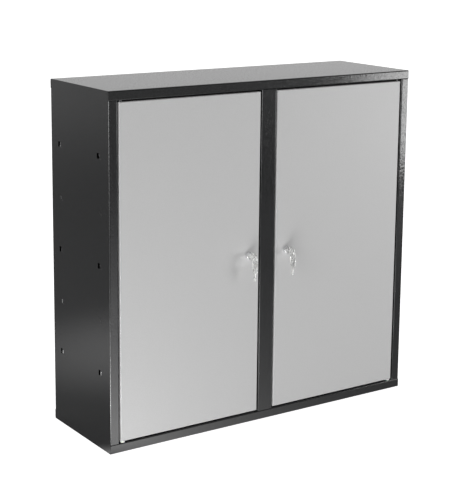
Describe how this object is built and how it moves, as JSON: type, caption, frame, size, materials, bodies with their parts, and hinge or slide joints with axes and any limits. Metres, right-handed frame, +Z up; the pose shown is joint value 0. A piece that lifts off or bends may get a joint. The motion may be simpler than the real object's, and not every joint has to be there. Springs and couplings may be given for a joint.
{
  "type": "wall tool cabinet with doors",
  "caption": "Wall tool cabinet of folded sheet steel with two inset hinged doors, cam locks with keys and adjustable shelves inside.",
  "frame": {"origin": "centre of the underside, between the front and rear faces of the body", "axes": "+X to the right seen from the front, -Y out of the doors, +Z up"},
  "size_m": [0.62, 0.2276, 0.6],
  "materials": {
    "body_paint": "dark hammer-finish powder coat",
    "door_paint": "light grey hammer-finish powder coat",
    "chrome": "bright chrome plate",
    "zinc_steel": "bright zinc plate",
    "key_metal": "nickel plate",
    "brass": "plain",
    "rubber": "matt",
    "nylon": "white moulded nylon"
  },
  "bodies": {
    "cabinet": {"left_side_panel": "body_paint", "right_side_panel": "body_paint", "top_panel": "body_paint", "bottom_panel": "body_paint", "back_panel": "body_paint", "centre_mullion": "body_paint", "lower_shelf": "body_paint", "upper_shelf": "body_paint", "lower_shelf_clips": "body_paint", "upper_shelf_clips": "body_paint", "pivot_bushes": "nylon", "door_buffers": "rubber"},
    "left_door": {"left_door_panel": "door_paint", "left_door_stiffener": "door_paint", "left_pivot_blocks": "zinc_steel", "left_pivot_pins": "zinc_steel", "left_lock_housing": "chrome", "left_lock_nut": "zinc_steel"},
    "left_plug": {"left_lock_plug": "chrome", "left_lock_wafers": "brass", "left_lock_cam": "zinc_steel", "left_cam_washer": "zinc_steel", "left_cam_screw": "zinc_steel"},
    "left_key": {"left_key": "key_metal"},
    "left_key_ring": {"left_key_ring": "key_metal"},
    "left_spare_key": {"left_spare_key": "key_metal"},
    "right_door": {"right_door_panel": "door_paint", "right_door_stiffener": "door_paint", "right_pivot_blocks": "zinc_steel", "right_pivot_pins": "zinc_steel", "right_lock_housing": "chrome", "right_lock_nut": "zinc_steel"},
    "right_plug": {"right_lock_plug": "chrome", "right_lock_wafers": "brass", "right_lock_cam": "zinc_steel", "right_cam_washer": "zinc_steel", "right_cam_screw": "zinc_steel"},
    "right_key": {"right_key": "key_metal"},
    "right_key_ring": {"right_key_ring": "key_metal"},
    "right_spare_key": {"right_spare_key": "key_metal"}
  },
  "joints": [
    {"name": "left_door_hinge", "type": "hinge", "parent": "cabinet", "child": "left_door", "pos_m": [-0.286, -0.0945, 0.3015], "axis": [0, 0, -1], "range_deg": [0, 105]},
    {"name": "left_lock_turn", "type": "hinge", "parent": "left_door", "child": "left_plug", "pos_m": [-0.04, -0.1, 0.3015], "axis": [0, 1, 0], "range_deg": [0, 90]},
    {"name": "left_key_pull", "type": "slide", "parent": "left_plug", "child": "left_key", "axis": [0, -1, 0], "range_m": [0, 0.0135]},
    {"name": "left_ring_swing", "type": "hinge", "parent": "left_key", "child": "left_key_ring", "pos_m": [-0.04, -0.1206, 0.3001], "axis": [1, 0, 0], "range_deg": [-60, 15]},
    {"name": "left_spare_swing", "type": "hinge", "parent": "left_key_ring", "child": "left_spare_key", "pos_m": [-0.04, -0.1206, 0.2885], "axis": [1, 0, 0], "range_deg": [-30, 10]},
    {"name": "right_door_hinge", "type": "hinge", "parent": "cabinet", "child": "right_door", "pos_m": [0.286, -0.0945, 0.3015], "axis": [0, 0, 1], "range_deg": [0, 105]},
    {"name": "right_lock_turn", "type": "hinge", "parent": "right_door", "child": "right_plug", "pos_m": [0.04, -0.1, 0.3015], "axis": [0, -1, 0], "range_deg": [0, 90]},
    {"name": "right_key_pull", "type": "slide", "parent": "right_plug", "child": "right_key", "axis": [0, -1, 0], "range_m": [0, 0.0135]},
    {"name": "right_ring_swing", "type": "hinge", "parent": "right_key", "child": "right_key_ring", "pos_m": [0.04, -0.1206, 0.3001], "axis": [1, 0, 0], "range_deg": [-60, 15]},
    {"name": "right_spare_swing", "type": "hinge", "parent": "right_key_ring", "child": "right_spare_key", "pos_m": [0.04, -0.1206, 0.2885], "axis": [1, 0, 0], "range_deg": [-30, 10]}
  ]
}
